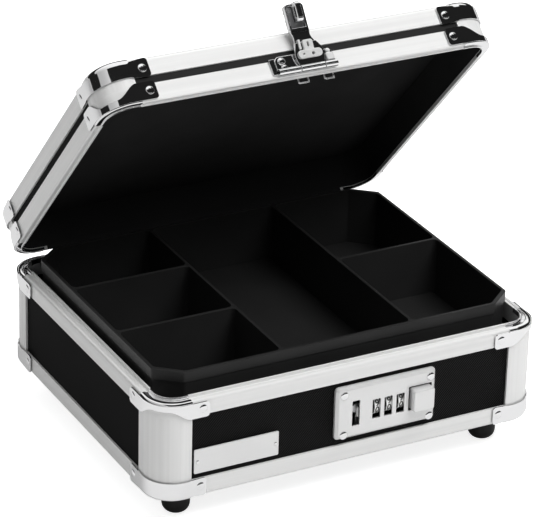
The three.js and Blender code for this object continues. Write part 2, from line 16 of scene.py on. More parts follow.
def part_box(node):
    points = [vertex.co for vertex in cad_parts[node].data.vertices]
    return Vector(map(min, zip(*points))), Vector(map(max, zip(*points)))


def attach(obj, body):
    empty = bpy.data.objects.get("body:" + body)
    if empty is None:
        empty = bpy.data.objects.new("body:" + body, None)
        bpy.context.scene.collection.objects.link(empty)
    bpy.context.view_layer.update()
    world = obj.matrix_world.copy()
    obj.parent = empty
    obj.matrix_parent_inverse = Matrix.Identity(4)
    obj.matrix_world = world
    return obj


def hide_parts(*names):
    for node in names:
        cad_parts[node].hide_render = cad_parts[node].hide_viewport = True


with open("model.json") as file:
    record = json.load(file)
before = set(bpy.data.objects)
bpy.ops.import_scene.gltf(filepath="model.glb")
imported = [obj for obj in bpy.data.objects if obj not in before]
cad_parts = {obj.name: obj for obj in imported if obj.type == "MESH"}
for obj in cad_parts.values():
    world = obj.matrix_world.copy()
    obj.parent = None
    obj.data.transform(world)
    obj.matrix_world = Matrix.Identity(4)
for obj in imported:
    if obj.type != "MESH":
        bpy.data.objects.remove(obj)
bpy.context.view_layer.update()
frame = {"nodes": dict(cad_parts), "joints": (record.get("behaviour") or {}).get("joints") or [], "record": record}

# Driving sizes, from the frame

MM = 0.001
LOW, HIGH = (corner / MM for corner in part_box("base_lower_frame"))
WIDTH = HIGH.x - LOW.x
DEPTH = HIGH.y - LOW.y
CASE_Y = (HIGH.y + LOW.y) / 2
FOOT_H = LOW.z
JOINTS = {joint["name"]: joint for joint in frame["joints"]}
CORNER_R = 17.5
RIM_Z = FOOT_H + 63.1
POST_FRONT = 22.0
POST_SIDE = 24.2
ARC_STEPS = 24

CORNERS = {
    "front_left": (-1, -1),
    "front_right": (1, -1),
    "rear_left": (-1, 1),
    "rear_right": (1, 1),
}


def about(joint, degrees):
    """The turn of a joint's child about its axis, in metres."""
    pos = Vector(joint["pos_m"])
    turn = Matrix.Rotation(math.radians(degrees), 4, Vector(joint["axis"]))
    return Matrix.Translation(pos) @ turn @ Matrix.Translation(-pos)


CASE = Matrix.Translation((0, CASE_Y * MM, 0)) @ Matrix.Scale(MM, 4)
LID = about(JOINTS["lid_hinge"], -JOINTS["lid_hinge"]["range_deg"][0]) @ CASE
HASP = about(JOINTS["hasp_hinge"], -JOINTS["hasp_hinge"]["range_deg"][1]) @ LID
PLACE = {"lid": LID, "hasp": HASP}


def base_z(z):
    return FOOT_H + z


def lid_z(z):
    return RIM_Z + z


def front_y(inset):
    return -DEPTH / 2 + inset


# Materials


def new_material(name, color, roughness, metallic=0.0, gloss=0.5):
    made = bpy.data.materials.new(name)
    made.use_nodes = True
    shader = made.node_tree.nodes["Principled BSDF"]
    shader.inputs["Base Color"].default_value = (*color, 1)
    shader.inputs["Roughness"].default_value = roughness
    shader.inputs["Metallic"].default_value = metallic
    shader.inputs["Specular IOR Level"].default_value = gloss
    return made, made.node_tree, shader


def coordinates(tree, kind, scale):
    """Texture coordinates of one kind, stretched by scale."""
    source = tree.nodes.new("ShaderNodeTexCoord")
    mapping = tree.nodes.new("ShaderNodeMapping")
    mapping.inputs["Scale"].default_value = scale
    tree.links.new(source.outputs[kind], mapping.inputs["Vector"])
    return mapping.outputs["Vector"]


def noise(tree, vector, scale, detail=3.0):
    texture = tree.nodes.new("ShaderNodeTexNoise")
    texture.inputs["Scale"].default_value = scale
    texture.inputs["Detail"].default_value = detail
    tree.links.new(vector, texture.inputs["Vector"])
    return texture.outputs["Fac"]


def spread(tree, value, low, high):
    """Maps a texture's middle range onto low..high."""
    ramp = tree.nodes.new("ShaderNodeMapRange")
    ramp.inputs["From Min"].default_value = 0.3
    ramp.inputs["From Max"].default_value = 0.7
    ramp.inputs["To Min"].default_value = low
    ramp.inputs["To Max"].default_value = high
    tree.links.new(value, ramp.inputs["Value"])
    return ramp.outputs["Result"]


def tint(tree, factor, dark, light):
    """A colour between two greys or tints, by a factor."""
    mix = tree.nodes.new("ShaderNodeMix")
    mix.data_type = "RGBA"
    mix.inputs["A"].default_value = (*dark, 1)
    mix.inputs["B"].default_value = (*light, 1)
    tree.links.new(factor, mix.inputs["Factor"])
    return mix.outputs["Result"]


def bump(tree, shader, height, strength, distance):
    node = tree.nodes.new("ShaderNodeBump")
    node.inputs["Strength"].default_value = strength
    node.inputs["Distance"].default_value = distance
    tree.links.new(height, node.inputs["Height"])
    tree.links.new(node.outputs["Normal"], shader.inputs["Normal"])


def satin_aluminium():
    """Extruded and anodised: fine streaks run along the rail, which the UV map follows."""
    made, tree, shader = new_material("satin_aluminium", (0.9, 0.9, 0.9), 0.36, 0.22)
    streaks = noise(tree, coordinates(tree, "UV", (0.012, 9.0, 1)), 1.0, 4.0)
    tree.links.new(spread(tree, streaks, 0.3, 0.42), shader.inputs["Roughness"])
    bands = noise(tree, coordinates(tree, "UV", (0.004, 0.3, 1)), 1.0, 2.0)
    color = tint(tree, spread(tree, bands, 0.0, 1.0), (0.76, 0.76, 0.755), (0.83, 0.83, 0.825))
    tree.links.new(color, shader.inputs["Base Color"])
    bump(tree, shader, streaks, 0.06, 0.0001)
    return made


def chrome():
    """Polished plating over pressed sheet, which is never quite flat."""
    made, tree, shader = new_material("chrome", (0.85, 0.85, 0.855), 0.05, 1.0)
    where = coordinates(tree, "Object", (1, 1, 1))
    tree.links.new(spread(tree, noise(tree, where, 240.0, 3.0), 0.03, 0.1), shader.inputs["Roughness"])
    bump(tree, shader, noise(tree, where, 95.0, 1.0), 0.26, 0.0006)
    return made


def steel():
    made, tree, shader = new_material("steel", (0.6, 0.6, 0.61), 0.35, 1.0)
    grain = noise(tree, coordinates(tree, "Object", (1, 6, 6)), 400.0, 3.0)
    tree.links.new(spread(tree, grain, 0.28, 0.45), shader.inputs["Roughness"])
    bump(tree, shader, grain, 0.1, 0.0002)
    return made


def black_plastic(name, level, roughness, gloss, grain_scale, grain_depth):
    """Moulded black plastic with a fine grain, faintly uneven in colour and gloss."""
    made, tree, shader = new_material(name, (level, level, level), roughness, 0.0, gloss)
    where = coordinates(tree, "Object", (1, 1, 1))
    broad = noise(tree, where, 30.0, 2.0)
    color = tint(tree, broad, (level * 0.8,) * 3, (level * 1.25,) * 3)
    tree.links.new(color, shader.inputs["Base Color"])
    fine = noise(tree, where, grain_scale, 2.0)
    tree.links.new(spread(tree, fine, roughness - 0.07, roughness + 0.07), shader.inputs["Roughness"])
    bump(tree, shader, fine, 0.35, grain_depth)
    return made


def ribbed_plastic():
    """Fine diagonal ribs across the front panel, with painted shade darkening the grooves between them."""
    made, tree, shader = new_material("ribbed_plastic", (0.014, 0.014, 0.015), 0.4, 0.0, 0.08)
    source = tree.nodes.new("ShaderNodeTexCoord")
    turned = tree.nodes.new("ShaderNodeMapping")
    turned.inputs["Rotation"].default_value = (0, math.radians(-42), 0)
    tree.links.new(source.outputs["Object"], turned.inputs["Vector"])
    wave = tree.nodes.new("ShaderNodeTexWave")
    wave.bands_direction = "X"
    wave.wave_profile = "SIN"
    wave.inputs["Scale"].default_value = 240.0
    wave.inputs["Distortion"].default_value = 0.0
    tree.links.new(turned.outputs["Vector"], wave.inputs["Vector"])
    # painted shade: the wave that raises the ribs also colours their grooves darker than their crests
    color = tint(tree, wave.outputs["Fac"], (0.001, 0.001, 0.001), (0.006, 0.006, 0.006))
    tree.links.new(color, shader.inputs["Base Color"])
    bump(tree, shader, wave.outputs["Fac"], 0.6, 0.0004)
    return made


LOOKS = {
    "satin_frame": satin_aluminium(),
    "chrome": chrome(),
    "steel": steel(),
    "black_panel": black_plastic("black_panel", 0.005, 0.35, 0.008, 2200.0, 0.00004),
    "front_texture": ribbed_plastic(),
    "lining": black_plastic("lining", 0.024, 0.8, 0.0, 1500.0, 0.00002),
    "tray": black_plastic("tray", 0.018, 0.35, 0.22, 1800.0, 0.00006),
    "rubber": black_plastic("rubber", 0.008, 0.5, 0.2, 1200.0, 0.0001),
}


def dial_metal():
    made, tree, shader = new_material("dial_metal", (0.92, 0.92, 0.91), 0.4, 0.05)
    grain = noise(tree, coordinates(tree, "Object", (1, 1, 1)), 900.0, 2.0)
    tree.links.new(spread(tree, grain, 0.28, 0.42), shader.inputs["Roughness"])
    return made


def satin_chrome():
    """The lock's plate and button: plated over a fine lengthwise brushing."""
    made, tree, shader = new_material("satin_chrome", (0.9, 0.9, 0.9), 0.2, 0.38)
    brushed = noise(tree, coordinates(tree, "Object", (0.02, 1, 1)), 3000.0, 3.0)
    tree.links.new(spread(tree, brushed, 0.17, 0.25), shader.inputs["Roughness"])
    broad = noise(tree, coordinates(tree, "Object", (1, 1, 1)), 40.0, 2.0)
    tree.links.new(tint(tree, broad, (0.74, 0.74, 0.74), (0.8, 0.8, 0.8)), shader.inputs["Base Color"])
    bump(tree, shader, brushed, 0.02, 0.00005)
    return made


LOOKS["dial"] = dial_metal()
SATIN_CHROME = satin_chrome()
INK = black_plastic("numeral_ink", 0.01, 0.5, 0.2, 900.0, 0.00002)

# Pieces


def show(mesh, name, body, slot, replaced=(), look=None, sharp=35):
    """Turns a mesh drawn in millimetres into a piece that rides on a body."""
    mesh.transform(PLACE.get(body, CASE))
    for face in mesh.polygons:
        face.use_smooth = True
    mesh.set_sharp_from_angle(angle=math.radians(sharp))
    mesh.materials.clear()
    mesh.materials.append(look or LOOKS[slot])
    piece = bpy.data.objects.new(name, mesh)
    bpy.context.scene.collection.objects.link(piece)
    weighted = piece.modifiers.new("weighted_normals", "WEIGHTED_NORMAL")
    weighted.keep_sharp = True
    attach(piece, body)
    if replaced:
        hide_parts(*replaced)
    return piece


def mesh_of(bm, name):
    bmesh.ops.recalc_face_normals(bm, faces=bm.faces)
    mesh = bpy.data.meshes.new(name)
    bm.to_mesh(mesh)
    bm.free()
    return mesh


def fillet(points, steps=4):
    """A closed outline of (x, y, radius), with each corner rounded by its radius."""
    outline = []
    for i, (x, y, radius) in enumerate(points):
        here = Vector((x, y))
        if radius <= 0:
            outline.append(here)
            continue
        before = (Vector(points[i - 1][:2]) - here).normalized()
        after = (Vector(points[(i + 1) % len(points)][:2]) - here).normalized()
        half = before.angle(after) / 2
        start = here + before * (radius / math.tan(half))
        end = here + after * (radius / math.tan(half))
        centre = here + (before + after).normalized() * (radius / math.sin(half))
        first = start - centre
        sweep = first.angle_signed(end - centre)
        for step in range(steps + 1):
            turn = Matrix.Rotation(-sweep * step / steps, 2)
            outline.append(centre + turn @ first)
    return outline


def rectangle(x, y, radius, steps=5):
    corners = ((x[0], y[0]), (x[1], y[0]), (x[1], y[1]), (x[0], y[1]))
    return fillet([(*corner, radius) for corner in corners], steps)


class Station:
    """A place on the case's outline: a point on the outer face, the way out, and how far along."""

    def __init__(self, at, out, reach, run=0.0):
        self.at = Vector(at)
        self.out = Vector(out)
        self.reach = reach
        self.run = run

    def place(self, inset, z):
        spot = self.at - self.out * inset
        return Vector((spot.x, spot.y, z))

    def on_side(self):
        return abs(self.out.x) > abs(self.out.y)


def corner_stations(fronts, sides, flip=(1, 1)):
    """Stations round one corner: distances from the corner on the front, the arc, and the side."""
    half = Vector((WIDTH / 2, DEPTH / 2))
    made = [Station((half.x - d, half.y), (0, 1), d) for d in fronts]
    for step in range(ARC_STEPS + 1):
        turn = step / ARC_STEPS * math.pi / 2
        out = Vector((math.sin(turn), math.cos(turn)))
        at = half - Vector((CORNER_R, CORNER_R)) + out * CORNER_R
        made.append(Station(at, out, CORNER_R * (1 - min(out))))
    made += [Station((half.x, half.y - d), (1, 0), d) for d in sides]
    for station in made:
        station.at = Vector((station.at.x * flip[0], station.at.y * flip[1]))
        station.out = Vector((station.out.x * flip[0], station.out.y * flip[1]))
    measure(made)
    return made


def measure(stations):
    run = 0.0
    for before, station in zip([stations[0], *stations], stations):
        run += (station.at - before.at).length
        station.run = run


def ring_stations():
    quarters = []
    for flip in ((1, 1), (1, -1), (-1, -1), (-1, 1)):
        quarter = corner_stations([], [], flip)
        quarters += quarter if flip[0] * flip[1] > 0 else quarter[::-1]
    measure(quarters)
    return quarters


def sweep(stations, sections, closed):
    """A skin through matching sections, one per station, with a UV map in millimetres."""
    bm = bmesh.new()
    uv = bm.loops.layers.uv.new("UVMap")
    rows = [[bm.verts.new(point) for point in section] for section in sections]
    count = len(rows[0])
    around = [0.0]
    for j in range(count):
        step = (Vector(sections[0][(j + 1) % count]) - Vector(sections[0][j])).length
        around.append(around[-1] + step)
    pairs = len(rows) if closed else len(rows) - 1
    for i in range(pairs):
        after = (i + 1) % len(rows)
        run = (stations[i].run, stations[after].run if after else stations[i].run + WIDTH)
        for j in range(count):
            k = (j + 1) % count
            face = bm.faces.new((rows[i][j], rows[after][j], rows[after][k], rows[i][k]))
            low, high = around[j], around[j + 1]
            spots = ((run[0], low), (run[1], low), (run[1], high), (run[0], high))
            for loop, spot in zip(face.loops, spots):
                loop[uv].uv = spot
    if not closed:
        bm.faces.new(rows[0])
        bm.faces.new(rows[-1][::-1])
    return bm


def ring(profile):
    stations = ring_stations()
    return sweep(stations, [[s.place(*point) for point in profile] for s in stations], True)


def corner_sweep(profile, front, side, flip):
    stations = corner_stations([front], [side], flip)
    return sweep(stations, [[s.place(*point) for point in profile] for s in stations], False)


def join(*parts):
    """Several bmeshes as one."""
    whole = bmesh.new()
    whole.loops.layers.uv.new("UVMap")
    for part in parts:
        spare = bpy.data.meshes.new("spare")
        part.to_mesh(spare)
        part.free()
        whole.from_mesh(spare)
        bpy.data.meshes.remove(spare)
    return whole


def plate(loops, y, bevel=0.3, name="plate"):
    """A flat plate seen from the front: outlines of (x, z), filled, from one y to another."""
    curve = bpy.data.curves.new(name, "CURVE")
    curve.dimensions = "2D"
    curve.fill_mode = "BOTH"
    for loop in loops:
        spline = curve.splines.new("POLY")
        spline.points.add(len(loop) - 1)
        for point, (px, pz) in zip(spline.points, loop):
            point.co = (px, pz, 0, 1)
        spline.use_cyclic_u = True
    curve.bevel_depth = bevel
    curve.bevel_resolution = 3
    curve.offset = -bevel
    curve.extrude = (y[1] - y[0]) / 2 - bevel
    holder = bpy.data.objects.new(name, curve)
    mesh = bpy.data.meshes.new_from_object(holder)
    bpy.data.objects.remove(holder)
    upright = Matrix.Translation((0, (y[0] + y[1]) / 2, 0)) @ Matrix.Rotation(math.pi / 2, 4, "X")
    mesh.transform(upright)
    bm = bmesh.new()
    bm.from_mesh(mesh)
    bpy.data.meshes.remove(mesh)
    bmesh.ops.remove_doubles(bm, verts=bm.verts, dist=0.0005)
    return bm


def slab(x, y, z, bevel=0.3):
    """A block with rounded edges."""
    bm = bmesh.new()
    size = Vector((x[1] - x[0], y[1] - y[0], z[1] - z[0]))
    middle = Vector((sum(x), sum(y), sum(z))) / 2
    bmesh.ops.create_cube(bm, size=1.0, matrix=Matrix.Translation(middle) @ Matrix.Diagonal((*size, 1)))
    bmesh.ops.bevel(bm, geom=bm.edges[:], offset=bevel, segments=3, profile=0.5, affect="EDGES")
    return bm


def turned(profile, matrix, sides=40):
    """A body turned about Z from (radius, z) points, from axis to axis or round to the first point."""
    bm = bmesh.new()
    closed = profile[0] == profile[-1]
    points = profile[:-1] if closed else profile
    rows = []
    for step in range(sides):
        turn = 2 * math.pi * step / sides
        rows.append([(r * math.cos(turn), r * math.sin(turn), z) for r, z in points])
    verts = [[bm.verts.new(point) for point in row] for row in rows]
    count = len(points)
    for i in range(sides):
        after = verts[(i + 1) % sides]
        for j in range(count if closed else count - 1):
            k = (j + 1) % count
            bm.faces.new((verts[i][j], after[j], after[k], verts[i][k]))
    bmesh.ops.remove_doubles(bm, verts=bm.verts, dist=0.0001)
    bmesh.ops.transform(bm, matrix=matrix, verts=bm.verts)
    return bm


def facing(at, out):
    """A matrix that takes +Z to the direction out, at a point."""
    return Matrix.Translation(at) @ Vector((0, 0, 1)).rotation_difference(Vector(out)).to_matrix().to_4x4()


def dome(radius, height):
    """A rivet head's profile: a short edge, then a dome."""
    points = [(0, -0.3), (radius, -0.3), (radius, 0.12)]
    for step in range(1, 9):
        turn = step / 8 * math.pi / 2
        points.append((radius * math.cos(turn), 0.12 + (height - 0.12) * math.sin(turn)))
    points[-1] = (0, height)
    return points


def rod(x, radius, y, z, sides=32):
    """A rod along X with slightly broken edges."""
    length = x[1] - x[0]
    edge = min(0.25, radius / 4)
    profile = [
        (0, 0), (radius - edge, 0), (radius, edge),
        (radius, length - edge), (radius - edge, length), (0, length),
    ]
    return turned(profile, facing((x[0], y, z), (1, 0, 0)), sides)


# Rails and posts


def rails():
    lower = fillet([
        (0, base_z(0), 2.0), (12, base_z(0), 0.4), (12, base_z(2), 0.4), (2, base_z(2), 0.4),
        (2, base_z(11.5), 0), (0, base_z(11.5), 0.15),
    ])
    show(mesh_of(ring(lower), "lower_rail"), "lower_rail", "case", "satin_frame", ["base_lower_frame"])
    upper = fillet([
        (0, base_z(52.8), 0.15), (0, base_z(54.8), 0), (0.06, base_z(54.95), 0), (0, base_z(55.1), 0),
        (0, base_z(58.4), 0), (0.06, base_z(58.55), 0), (0, base_z(58.7), 0),
        (0, base_z(62.8), 2.2), (2.9, base_z(62.8), 0.3), (3.05, base_z(62.2), 0.2),
        (5.25, base_z(62.2), 0.3), (5.3, base_z(64.05), 0.35), (6.6, base_z(64.05), 0.35),
        (6.6, base_z(53), 0), (5, base_z(53), 0), (5, base_z(60.3), 0), (2, base_z(60.3), 0),
        (2, base_z(52.8), 0),
    ])
    show(mesh_of(ring(upper), "upper_rail"), "upper_rail", "case", "satin_frame", ["base_upper_frame"])
    rim = fillet([
        (0, lid_z(0), 0.9), (3.2, lid_z(0), 0.1), (3.3, lid_z(-0.7), 0.15), (4.3, lid_z(-0.7), 0.15),
        (4.3, lid_z(1.5), 0), (2, lid_z(1.5), 0), (2, lid_z(10.9), 0), (0, lid_z(10.9), 0.15),
    ])
    show(mesh_of(ring(rim), "lid_rim"), "lid_rim", "lid", "satin_frame", ["lid_rim_frame"])
    top = fillet([
        (0, lid_z(15.86), 0.15), (0, lid_z(28.1), 3.6), (12, lid_z(28.1), 0.5), (12, lid_z(26.3), 0),
        (2.6, lid_z(26.3), 0), (2, lid_z(25.7), 0), (2, lid_z(15.86), 0),
    ], 8)
    show(mesh_of(ring(top), "lid_top_rail"), "lid_top_rail", "lid", "satin_frame", ["lid_top_frame"])


def posts():
    for name, flip in CORNERS.items():
        shell = [(-0.02, base_z(11.2)), (-0.02, base_z(53.1)), (2, base_z(53.1)), (2, base_z(11.2))]
        body = corner_sweep(shell, POST_FRONT, POST_SIDE, flip)
        turn_uv(body)
        post = mesh_of(body, f"post_{name}")
        show(post, f"post_{name}", "case", "satin_frame", [f"base_post_{name}"])
        short = [(-0.02, lid_z(10.6)), (-0.02, lid_z(16.2)), (2, lid_z(16.2)), (2, lid_z(10.6))]
        body = corner_sweep(short, POST_FRONT, POST_FRONT, flip)
        turn_uv(body)
        post = mesh_of(body, f"lid_post_{name}")
        show(post, f"lid_post_piece_{name}", "lid", "satin_frame", [f"lid_post_{name}"])


def turn_uv(bm):
    """Swaps the two directions of the UV map, for streaks that run up a post."""
    uv = bm.loops.layers.uv.active
    for face in bm.faces:
        for loop in face.loops:
            loop[uv].uv = (loop[uv].uv.y, loop[uv].uv.x)


# Corner caps


def smooth(start, end, at):
    t = min(max((at - start) / (end - start), 0), 1)
    return t * t * (3 - 2 * t)


class Cap:
    """One kind of corner cap: a band round the corner and an ear with a rivet along each face.

    band and ear are (low, high) heights, blend the distances from the corner over which one becomes the
    other, ends and rivets the distances of the ear's end and its rivet on the (front, side) face.
    """

    def __init__(self, node, body, band, ear, rivet_z, blend, ends, rivets, cover):
        self.node = node
        self.body = body
        self.band = band
        self.ear = ear
        self.rivet_z = rivet_z
        self.blend = blend
        self.ends = ends
        self.rivets = rivets
        self.cover = cover

    def edges(self, station):
        """The cap's lower and upper edge at a station, with rounded ear corners."""
        share = smooth(*self.blend, station.reach)
        low, high = (b + (e - b) * share for b, e in zip(self.band, self.ear))
        end = self.ends[1] if station.on_side() else self.ends[0]
        depth = station.reach - end + EAR_R
        if depth > 0:
            shrink = EAR_R - math.sqrt(max(EAR_R**2 - depth**2, 0))
            low, high = low + shrink, high - shrink
        return low, high


EAR_R = 2.0
EAR_STEPS = 9
CAP_OUT = 0.85
CAP_IN = 1.2
CAP_EDGE = 0.35
RUN_IN = [21.5, 20.4, 19.4, 18.4]
RIVET = (2.7, 1.1)
# painted shadow: a thin dark ring, a little wider than each rivet head, drawn under it
RIVET_SHADOW_RING = (2.92, 0.1)


def ear_distances(end):
    turns = [math.pi / 2 * i / EAR_STEPS for i in range(EAR_STEPS + 1)]
    return [end - EAR_R + EAR_R * math.sin(turn) for turn in turns]


def strip_section(station, low, high):
    """A sheet's cross-section between two heights, with its outer edges rounded."""
    points = [(-CAP_IN, high), (-CAP_IN, low)]
    for edge, way in ((low, 1), (high, -1)):
        turns = [i / 4 * math.pi / 2 for i in range(5)]
        arc = []
        for turn in turns:
            out = CAP_OUT - CAP_EDGE * (1 - math.sin(turn))
            arc.append((-out, edge + way * CAP_EDGE * (1 - math.cos(turn))))
        points += arc if way > 0 else arc[::-1]
    return [station.place(*point) for point in points]


def cap_piece(cap, corner, flip):
    name = f"{cap.node}_piece_{corner}"
    fronts = ear_distances(cap.ends[0])[::-1] + RUN_IN
    sides = RUN_IN[::-1] + ear_distances(cap.ends[1])
    stations = corner_stations(fronts, sides, flip)
    sections = [strip_section(station, *cap.edges(station)) for station in stations]
    band = sweep(stations, sections, False)
    cover = corner_sweep(cap.cover, POST_FRONT, POST_FRONT, flip)
    piece = mesh_of(join(band, cover), name)
    show(piece, name, cap.body, "chrome", [f"{cap.node}_{corner}"])


def cap_rivets(cap, corner, flip):
    """The two rivets of a cap, each on a thin dark ring under its head that paints the shadow round it."""
    proud_by = CAP_OUT - 0.05
    spots = (
        ((WIDTH / 2 - cap.rivets[0], DEPTH / 2 + proud_by), (0, 1)),
        ((WIDTH / 2 + proud_by, DEPTH / 2 - cap.rivets[1]), (1, 0)),
    )
    shadow_rings = []
    for side, ((x, y), out) in zip(("front", "side"), spots):
        at = (x * flip[0], y * flip[1], cap.rivet_z)
        away = (out[0] * flip[0], out[1] * flip[1], 0)
        head = turned(dome(*RIVET), facing(at, away))
        name = f"{cap.node}_{corner}_{side}_rivet"
        show(mesh_of(head, name), name, cap.body, "chrome")
        # painted shadow: the dark ring under the head stands in for the shade round its edge
        shadow_rings.append(turned(dome(*RIVET_SHADOW_RING), facing(at, away)))
    name = f"{cap.node}_{corner}_rivet_shadow_rings"
    show(mesh_of(join(*shadow_rings), name), name, cap.body, "rubber")


def caps():
    """The four kinds of cap, one of each at every corner; covers are (inset, z, radius) outlines."""
    lower = Cap(
        "base_lower_cap", "case",
        band=(base_z(1.9), base_z(11.5)), ear=(base_z(0.6), base_z(12.3)), rivet_z=base_z(7.0),
        blend=(20, 23), ends=(31, 33), rivets=(27.3, 29),
        cover=fillet([
            (-0.8, base_z(3.5), 0), (-0.8, base_z(-0.8), 2.6), (12, base_z(-0.8), 0.3),
            (12, base_z(0.5), 0), (1, base_z(0.5), 0), (1, base_z(3.5), 0),
        ], 6),
    )
    upper = Cap(
        "base_upper_cap", "case",
        band=(base_z(58.0), base_z(61.6)), ear=(base_z(51.9), base_z(61.6)), rivet_z=base_z(57.4),
        blend=(9, 21), ends=(32.5, 34), rivets=(28.3, 29.5),
        cover=fillet([
            (-0.75, base_z(60), 0), (-0.75, base_z(62.88), 2.4), (2.95, base_z(62.88), 0.3),
            (3.1, base_z(62.28), 0.2), (5.22, base_z(62.28), 0.2), (5.22, base_z(64.13), 0.35),
            (6.68, base_z(64.13), 0.35), (6.68, base_z(61), 0), (1, base_z(60), 0),
        ], 6),
    )
    rim = Cap(
        "lid_rim_cap", "lid",
        band=(lid_z(0.9), lid_z(4.6)), ear=(lid_z(0.9), lid_z(11.8)), rivet_z=lid_z(6.3),
        blend=(9, 21), ends=(32.5, 31), rivets=(28.3, 27.5),
        cover=fillet([
            (-0.75, lid_z(3), 0), (-0.75, lid_z(-0.08), 1.1), (3.25, lid_z(-0.08), 0.1),
            (3.25, lid_z(-0.74), 0.1), (4.35, lid_z(-0.74), 0.1), (4.35, lid_z(1), 0), (1, lid_z(3), 0),
        ], 6),
    )
    top = Cap(
        "lid_top_cap", "lid",
        band=(lid_z(15.9), lid_z(24.4)), ear=(lid_z(14.9), lid_z(26.5)), rivet_z=lid_z(20.4),
        blend=(20, 23), ends=(32.5, 31), rivets=(28.3, 27.5),
        cover=fillet([
            (-0.8, lid_z(23), 0), (-0.8, lid_z(28.85), 4.8), (12.1, lid_z(28.85), 0.4),
            (12.1, lid_z(27.6), 0), (3, lid_z(27.6), 0), (1, lid_z(25.6), 0), (1, lid_z(23), 0),
        ], 8),
    )
    for cap in (lower, upper, rim, top):
        for corner, flip in CORNERS.items():
            cap_piece(cap, corner, flip)
            cap_rivets(cap, corner, flip)


# Panels, floor and feet that keep their CAD shape


def keep_cad_nodes():
    """CAD nodes whose shape is right get their material."""
    slots = {row["node"]: row["material_slot"] for row in frame["record"]["subparts"]}
    slots.update(dict.fromkeys(("lid_panel", "lid_skirt"), "lining"))
    for name, node in frame["nodes"].items():
        node.data.materials.clear()
        node.data.materials.append(LOOKS[slots[name]])


def feet():
    profile = fillet([(0, 0, 0), (8.1, 0, 5.5), (9, 19, 0), (9, 22, 0), (0, 22, 0)], 10)
    points = [(p.x, p.y) for p in profile]
    for corner, flip in CORNERS.items():
        at = (flip[0] * (WIDTH / 2 - 23.4), flip[1] * (DEPTH / 2 - 22.9), 0)
        body = turned(points, Matrix.Translation(at), 48)
        show(mesh_of(body, "foot"), f"foot_piece_{corner}", "case", "rubber", [f"foot_{corner}"])


def name_plate():
    """The plate at the front's left, left blank."""
    outline = rectangle((-103.5, -49), (base_z(15), base_z(30.6)), 0.8)
    body = plate([outline], (front_y(-0.1), front_y(0.9)), 0.25)
    name = "name_plate_piece"
    show(mesh_of(body, name), name, "case", "chrome", ["name_plate"], SATIN_CHROME)
    for i, x in enumerate((-101.3, -51.2)):
        head = turned(dome(1.0, 0.5), facing((x, front_y(-0.1), base_z(22.8)), (0, -1, 0)), 24)
        show(mesh_of(head, "pin"), f"name_plate_rivet_{i + 1}", "case", "chrome")


# Lock: z is measured from the underside of the base frame

DIALS = (14.1, 22.05, 30.15)
DIAL_Z = 31.85
DIAL_INSET = 5.6
DIAL_R = 6.9
DIAL_SIDES = 120
BORE_R = 1.8
NOTCH_DEPTH = 0.6
FIGURE_STEP = math.radians(36)
FIGURE_OFFSET = math.radians(-15)
FIGURE_SIZE = 5.6
FIGURE_WIDEN = 0.95
FIGURE_SHIFT = 1.3
FIGURE_CUTS = [0.3 * i for i in range(-8, 9)]
BUTTON_X = (36.8, 50.7)
BUTTON_Z = (25.7, 39.9)
BUTTON_HOLE = ((35.6, 51.1), (25.2, 41.1))
PLATE_X = (-12.7, 54.1)
PLATE_Z = (15.7, 49.8)
PLATE_R = 2.4
PLATE_SLOPE = 2.0


def lock_plate():
    """A pressed pan with sloping sides; its flat front has a slot, the windows and the button's hole."""
    def window(x, z, radius=0.5):
        return rectangle(x, (base_z(z[0]), base_z(z[1])), radius, 3)

    def outline(inset):
        x = (PLATE_X[0] + inset, PLATE_X[1] - inset)
        return window(x, (PLATE_Z[0] + inset, PLATE_Z[1] - inset), PLATE_R - inset * 0.8)

    loops = [
        outline(PLATE_SLOPE),
        window((-2.1, 2.9), (23.6, 40.2)),
        window(*BUTTON_HOLE),
    ]
    loops += [window((x - 2.7, x + 2.7), (25.5, 38.2)) for x in DIALS]
    flat = plate(loops, (front_y(-2.5), front_y(-1.5)), 0.1)
    sides = loft([
        (outline(inset), front_y(u))
        for inset, u in (
            (0, 0.9), (0, -0.4), (0.08, -0.7), (0.3, -0.95), (1.45, -2.3), (1.65, -2.45), (1.98, -2.5),
            (2.0, -1.6), (1.0, -0.4), (1.0, 0.9),
        )
    ])
    name = "lock_plate_piece"
    show(mesh_of(join(flat, sides), name), name, "case", "chrome", ["lock_plate"], SATIN_CHROME)
    for i, (x, z) in enumerate(((-7.6, 18.9), (-7.6, 45), (50.1, 18.9), (50.1, 45))):
        head = turned(dome(2.6, 0.95), facing((x, front_y(-2.45), base_z(z)), (0, -1, 0)))
        show(mesh_of(head, "screw"), f"lock_plate_screw_{i + 1}", "case", "chrome")


def loft(layers):
    """A closed skin round outlines of (x, z), each at its own y, the last joined to the first."""
    bm = bmesh.new()
    rows = [[bm.verts.new((point[0], y, point[1])) for point in outline] for outline, y in layers]
    for i, row in enumerate(rows):
        after = rows[(i + 1) % len(rows)]
        for j in range(len(row)):
            k = (j + 1) % len(row)
            bm.faces.new((row[j], row[k], after[k], after[j]))
    return bm


def drum(x, profile, notch_depth=0.0):
    """A ring about a dial's axis from (radius, offset along x), notched once per figure if asked."""
    bm = bmesh.new()
    rows = []
    for side in range(DIAL_SIDES):
        turn = 2 * math.pi * side / DIAL_SIDES
        phase = (turn - FIGURE_OFFSET) / FIGURE_STEP * 2 * math.pi
        notch = notch_depth * smooth(0.2, 0.7, math.cos(phase))
        row = []
        for radius, along in profile:
            reach = radius - notch if radius > DIAL_R / 2 else radius
            row.append((x + along, -reach * math.cos(turn), reach * math.sin(turn)))
        rows.append([bm.verts.new(spot) for spot in row])
    for row, after in zip(rows, rows[1:] + rows[:1]):
        for j in range(len(row)):
            k = (j + 1) % len(row)
            bm.faces.new((row[j], after[j], after[k], row[k]))
    bmesh.ops.translate(bm, verts=bm.verts, vec=(0, front_y(DIAL_INSET), base_z(DIAL_Z)))
    return bm


